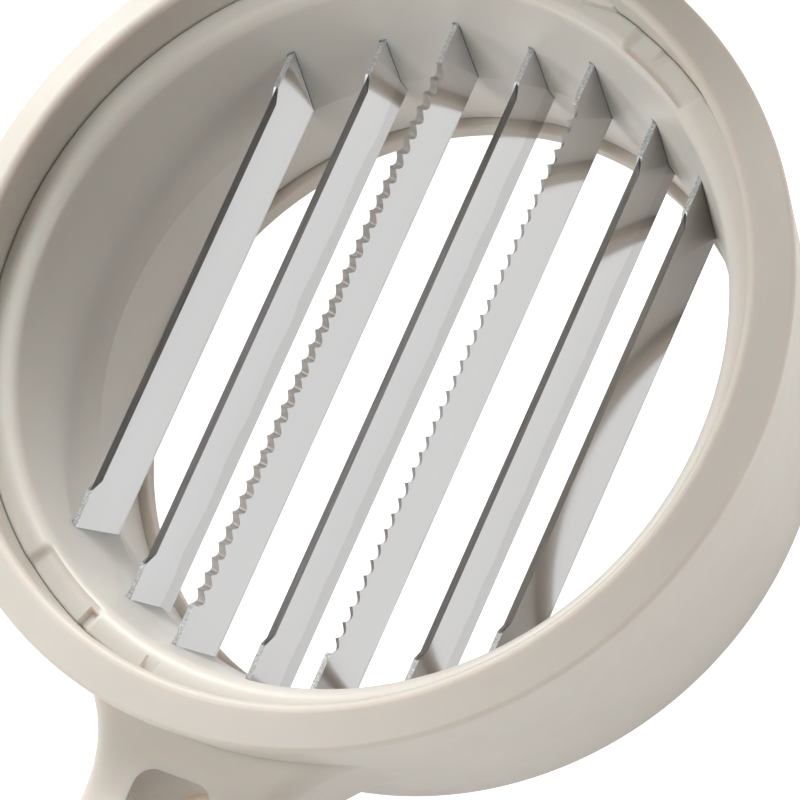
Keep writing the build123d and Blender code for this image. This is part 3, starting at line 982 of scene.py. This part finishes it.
class SLICER_OT_pusher_arm(bpy.types.Operator):
    """Build the upper arm: ring, handle, tongue and knuckle"""

    bl_idname = "slicer.pusher_arm"
    bl_label = "Upper arm"

    def execute(self, context):
        scene = context.scene
        ring, handle, hinge, arm = scene.slicer_ring, scene.slicer_handle, scene.slicer_hinge, scene.slicer_arm
        collar = wall_radius(ring, handle.top)
        top = arm.low + arm.thickness
        top_radius = collar - arm.thickness * tan(ring.wall_draft)
        recess = top_radius - arm.land
        opening = recess - arm.flange
        section = rounded([
            (opening, arm.low, arm.low_round),
            (collar, arm.low, arm.low_round),
            (top_radius, top, arm.top_round),
            (recess, top, arm.seat_round),
            (recess, top - arm.recess, 0),
            (opening, top - arm.recess, 0),
        ])
        made = turned("pusher_arm_finish", section, ARM_STEPS)
        for part in [self.handle_body(ring, handle, arm, collar), *self.knuckle_bodies(hinge, arm, collar)]:
            combine(made, part, "UNION")
        made.data.transform(OPENED)
        finish_piece(smooth_faces(made), "frame_plastic_finish", "upper", "pusher_arm")
        return {"FINISHED"}

    def handle_body(self, ring, handle, arm, collar):
        """Handle over the lower one, with the same plan."""
        low = arm.low + arm.handle_sink
        top = arm.low + arm.thickness - arm.handle_sink
        root = collar - arm.thickness * tan(ring.wall_draft) - arm.land + arm.root_margin
        layers = soft_layers(-top, -low, arm.handle_round, handle.under_round, ring.wall_draft)
        layers = [(inset, -height) for inset, height in reversed(layers)]
        slot_layers = soft_layers(low, top, arm.slot_round, arm.slot_round)
        return handle_solid(handle, collar, root, layers, slot_layers)

    def knuckle_bodies(self, hinge, arm, collar):
        """Tongue from the ring to the knuckle, bored for the pin, with the square heel that meets the stop."""
        r = hinge.knuckle_radius
        closed = OPENED.inverted()
        heel = [(0, -r), (r, -r), (r, 0)]
        heel = [closed @ Vector((0, HINGE.y + y, HINGE.z + z)) for y, z in heel]
        top = arm.low + arm.thickness
        root = collar - arm.tongue_root
        knuckle = hull([Vector((p.y, p.z)) for p in heel], r, KNUCKLE_STEPS)
        bore = bore_outline(hinge.pin_radius + hinge.bore_gap)
        half = hinge.knuckle_width / 2
        meet = HINGE.y - sqrt(r**2 - (arm.low - HINGE.z) ** 2)
        tongue = [
            Vector((root, arm.low)),
            Vector((meet, arm.low)),
            Vector((HINGE.y, HINGE.z)) + r * Vector(TONGUE_CORNER),
            Vector((HINGE.y, HINGE.z + r)),
            Vector((root, top - arm.tongue_drop)),
        ]
        made = []
        for name, outline, bores in (("tongue", tongue, []), ("knuckle", knuckle, [bore])):
            slim = half if bores else half - hinge.edge_round
            across = soft_layers(-slim, slim, hinge.edge_round, hinge.edge_round, steps=4)
            made.append(solid(name, outline, across, bores, [(0, -half), (0, half)], place=along_x))
        return made


def fin_tree():
    """Node tree that sets fins along a line, each as long as the circle allows, with hollow round-edged tips."""
    tree = bpy.data.node_groups.new("Pusher fins", "GeometryNodeTree")
    tree.interface.new_socket("Geometry", in_out="OUTPUT", socket_type="NodeSocketGeometry")
    for label, kind in FIN_INPUTS.items():
        tree.interface.new_socket(label, in_out="INPUT", socket_type=kind)
    add, calc, vector = partial(new_node, tree), partial(math_node, tree), partial(vector_node, tree)
    given = add("NodeGroupInput").outputs

    # One fin of unit half length: a fine block whose lower edge is hollowed and whose tip is rounded
    block = add("GeometryNodeMeshCube", Size=vector(given["Thickness"], 2.0, given["Height"]), **FIN_POINTS)
    x, y, z = split_node(tree, add("GeometryNodeInputPosition").outputs[0])
    rise = calc("ADD", calc("DIVIDE", z, given["Height"]), 0.5)
    lift = calc("MULTIPLY", given["Hollow"], calc("SUBTRACT", 1.0, calc("MULTIPLY", y, y)))
    corner = calc("MULTIPLY", calc("POWER", calc("ABSOLUTE", y), FIN_CORNER_POWER), FIN_CORNER_RISE)
    bottom = calc("MULTIPLY", calc("ADD", lift, corner), calc("SUBTRACT", 1.0, rise))
    tip = calc("MAXIMUM", calc("SUBTRACT", 1.0, calc("DIVIDE", rise, FIN_TIP)), 0.0)
    slim = calc("SUBTRACT", 1.0, calc("MULTIPLY", calc("MULTIPLY", tip, tip), FIN_SLIMMING))
    bent = vector(calc("MULTIPLY", x, slim), y, calc("ADD", z, bottom))
    shape = add("GeometryNodeSetPosition", Geometry=block.outputs["Mesh"], Position=bent)

    # The row of fins, each scaled to its chord of the circle
    first = calc("MULTIPLY", calc("SUBTRACT", given["Count"], 1), calc("MULTIPLY", given["Pitch"], -0.5))
    line = tree.nodes.new("GeometryNodeMeshLine")
    line.mode = "OFFSET"
    wire(
        tree,
        line,
        Count=given["Count"],
        Start_Location=vector(first, 0.0, 0.0),
        Offset=vector(given["Pitch"], 0.0, 0.0),
    )
    spot = split_node(tree, add("GeometryNodeInputPosition").outputs[0])
    edge = calc("ADD", calc("ABSOLUTE", spot["X"]), calc("MULTIPLY", given["Thickness"], 0.5))
    reach = calc("SQRT", calc("SUBTRACT", calc("POWER", given["Circle"], 2.0), calc("POWER", edge, 2.0)))
    rows = add(
        "GeometryNodeInstanceOnPoints",
        Points=line.outputs["Mesh"],
        Instance=shape.outputs["Geometry"],
        Scale=vector(1.0, reach, 1.0),
    )
    real = add("GeometryNodeRealizeInstances", rows.outputs["Instances"])
    finish = add("GeometryNodeSetMaterial", Geometry=real.outputs["Geometry"], Material=given["Material"])
    add("NodeGroupOutput", finish.outputs["Geometry"])
    return tree


class SLICER_OT_pusher(bpy.types.Operator):
    """Build the pusher: plate with core slots, and the row of fins"""

    bl_idname = "slicer.pusher"
    bl_label = "Pusher"

    def execute(self, context):
        scene = context.scene
        ring, handle, arm = scene.slicer_ring, scene.slicer_handle, scene.slicer_arm
        finish = "insert_plastic_finish"
        collar = wall_radius(ring, handle.top)
        top = arm.low + arm.thickness
        seat = collar - arm.thickness * tan(ring.wall_draft) - arm.land - arm.clearance
        plate_top = top - arm.clearance
        plate_low = plate_top - arm.plate
        flange_low = top - arm.recess
        plug = arm.flange
        round_top = arm.plate_round
        bevel = arm.core_bevel
        layers = [(plug, plate_low), (plug, flange_low), (0, flange_low), (0, plate_top - round_top)]
        layers += [(round_top * (1 - cos(t)), plate_top - round_top * (1 - sin(t))) for t in PLATE_TURNS]
        outline = arc((0, 0), seat, 0, 2 * pi, PLATE_STEPS)[:-1]
        cores = [self.core_outline(arm, i) for i in range(arm.fin_count)]
        core_layers = [(0, plate_low), (0, plate_top - bevel), (-bevel, plate_top)]
        plate = solid("pusher_plate_finish", outline, layers, cores, core_layers)
        plate.data.transform(OPENED)
        finish_piece(smooth_faces(plate), finish, "upper", "pusher")
        fins = self.fins(arm, plate_low + arm.fin_overlap, bpy.data.materials[finish])
        fins.data.transform(OPENED)
        finish_piece(smooth_faces(fins), finish, "upper", "pusher")
        return {"FINISHED"}

    def core_outline(self, arm, number):
        """Narrow slot over a fin, where the mould's core stood."""
        x = (number - (arm.fin_count - 1) / 2) * arm.fin_pitch
        reach = sqrt(arm.fin_circle**2 - (abs(x) + arm.fin_thickness / 2) ** 2) - arm.core_margin
        half = arm.core_width / 2
        r = arm.core_corner
        corners = [(x + half, reach, r), (x + half, -reach, r), (x - half, -reach, r), (x - half, reach, r)]
        return rounded(corners, CORE_STEPS)

    def fins(self, arm, root, material):
        """Row of fins from their node tree, as plain mesh."""
        made = bpy.data.objects.new("pusher_fins_finish", bpy.data.meshes.new("pusher_fins_finish"))
        bpy.context.scene.collection.objects.link(made)
        tree = fin_tree()
        height = root - arm.fin_low
        values = {
            "Count": arm.fin_count,
            "Pitch": arm.fin_pitch,
            "Thickness": arm.fin_thickness,
            "Circle": arm.fin_circle,
            "Height": height,
            "Hollow": arm.fin_hollow,
            "Material": material,
        }
        row = made.modifiers.new("fins", "NODES")
        row.node_group = tree
        for item in tree.interface.items_tree:
            if item.in_out == "INPUT":
                row[item.identifier] = values[item.name]
        bpy.context.view_layer.update()
        settle(made)
        made.data.transform(Matrix.Translation((0, 0, arm.fin_low + height / 2)))
        return made


class SLICER_OT_stage(bpy.types.Operator):
    """Set the floor, the soft light and the camera"""

    bl_idname = "slicer.stage"
    bl_label = "Stage"

    def execute(self, context):
        stage = context.scene.slicer_stage
        self.floor(stage)
        self.light(context.scene, stage)
        self.camera(context.scene, stage)
        return {"FINISHED"}

    def floor(self, stage):
        """Wide pale floor, white to the eye, that gives matt surfaces less light, and least from under the tool."""
        body = bmesh.new()
        bmesh.ops.create_grid(body, x_segments=1, y_segments=1, size=stage.floor_size)
        made = as_object("floor", body)
        tree, shader = new_material("pale_floor", roughness=0.7)
        calc = partial(math_node, tree)
        middle = (FRAME_LOW + FRAME_HIGH) / 2
        reach = (FRAME_HIGH - FRAME_LOW) / 2
        shade = new_node(
            tree,
            "ShaderNodeMapping",
            Vector=object_place(tree),
            Scale=(1 / reach.x, 1 / reach.y, 1),
            Location=(-middle.x / reach.x, -middle.y / reach.y, 0),
        )
        away = new_node(tree, "ShaderNodeVectorMath", shade.outputs[0])
        away.operation = "LENGTH"
        open_floor = ramp_node(tree, away.outputs["Value"], stage.dim_start, stage.dim_end, stage.floor_dim)
        paths = new_node(tree, "ShaderNodeLightPath").outputs
        matt = paths["Is Diffuse Ray"]
        seen = calc("MULTIPLY_ADD", paths["Is Camera Ray"], stage.floor_lift, stage.floor_glow)
        glow = calc("MULTIPLY", seen, calc("SUBTRACT", 1.0, matt))
        wire(
            tree,
            shader,
            Base_Color=stage.floor_colour,
            Emission_Strength=calc("MULTIPLY_ADD", matt, calc("MULTIPLY", open_floor, stage.floor_bounce), glow),
            Emission_Color=mixed(tree, matt, (1, 1, 1), stage.floor_warmth),
        )
        set_finish(made, "pale_floor")

    def light(self, scene, stage):
        """Dim surroundings and a ring of soft lamps."""
        world = bpy.data.worlds.new("studio")
        world.use_nodes = True
        sky = world.node_tree.nodes["Background"]
        sky.inputs["Color"].default_value = (1, 1, 1, 1)
        sky.inputs["Strength"].default_value = stage.sky
        scene.world = world
        for name, bearing, height, power in LAMPS:
            lamp = bpy.data.lights.new(name, "AREA")
            lamp.energy = power * stage.lamp_scale
            lamp.color = stage.lamp_colour
            lamp.size = stage.lamp_side
            made = bpy.data.objects.new(name, lamp)
            flat = cos(radians(height))
            toward = Vector((flat * cos(radians(bearing)), flat * sin(radians(bearing)), sin(radians(height))))
            made.location = toward * stage.lamp_distance
            made.rotation_euler = toward.to_track_quat("Z", "Y").to_euler()
            scene.collection.objects.link(made)

    def camera(self, scene, stage):
        """Camera at the photograph's place and angle."""
        right = Vector(stage.camera_right).normalized()
        down = Vector(stage.camera_down).normalized()
        back = right.cross(-down)
        view = bpy.data.cameras.new("camera")
        view.sensor_fit = "HORIZONTAL"
        view.lens = stage.focal_pixels / stage.picture_side * view.sensor_width
        view.clip_start = stage.camera_near
        made = bpy.data.objects.new("camera", view)
        turn = Matrix((right, -down, back)).transposed()
        made.matrix_world = Matrix.Translation(stage.camera_place) @ turn.to_4x4()
        scene.collection.objects.link(made)
        scene.camera = made
        scene.view_settings.view_transform = "Standard"


class SLICER_PT_panel(bpy.types.Panel):
    """Lists the builders of the egg slicer"""

    bl_idname = "SLICER_PT_panel"
    bl_label = "Egg slicer"
    bl_space_type = "VIEW_3D"
    bl_region_type = "UI"
    bl_category = "Egg slicer"

    def draw(self, context):
        for builder in BUILDERS:
            self.layout.operator(builder.bl_idname)
        for group in SETTINGS:
            settings = getattr(context.scene, group)
            for label in settings.bl_rna.properties.keys():
                if label not in ("rna_type", "name"):
                    self.layout.prop(settings, label)


SETTINGS = {
    "slicer_ring": RingSizes,
    "slicer_insert": InsertSizes,
    "slicer_handle": HandleSizes,
    "slicer_hinge": HingeSizes,
    "slicer_arm": ArmSizes,
    "slicer_teeth": ToothSizes,
    "slicer_colours": FinishColours,
    "slicer_stage": StageSettings,
}
BUILDERS = (
    SLICER_OT_finishes,
    SLICER_OT_blade_frame,
    SLICER_OT_blade_holder,
    SLICER_OT_straight_blades,
    SLICER_OT_toothed_blades,
    SLICER_OT_hinge_pin,
    SLICER_OT_pusher_arm,
    SLICER_OT_pusher,
    SLICER_OT_stage,
)


def register():
    """Registers the settings, the builders and the panel."""
    for name, group in SETTINGS.items():
        bpy.utils.register_class(group)
        setattr(bpy.types.Scene, name, PointerProperty(type=group))
    for builder in BUILDERS:
        bpy.utils.register_class(builder)
    bpy.utils.register_class(SLICER_PT_panel)


def unregister():
    """Removes what register added."""
    bpy.utils.unregister_class(SLICER_PT_panel)
    for builder in reversed(BUILDERS):
        bpy.utils.unregister_class(builder)
    for name, group in SETTINGS.items():
        delattr(bpy.types.Scene, name)
        bpy.utils.unregister_class(group)


def main():
    """Builds every piece in order."""
    register()
    bpy.ops.slicer.finishes()
    bpy.ops.slicer.blade_frame()
    bpy.ops.slicer.blade_holder()
    bpy.ops.slicer.straight_blades()
    bpy.ops.slicer.toothed_blades()
    bpy.ops.slicer.hinge_pin()
    bpy.ops.slicer.pusher_arm()
    bpy.ops.slicer.pusher()
    bpy.ops.slicer.stage()


if __name__ == "__main__":
    main()
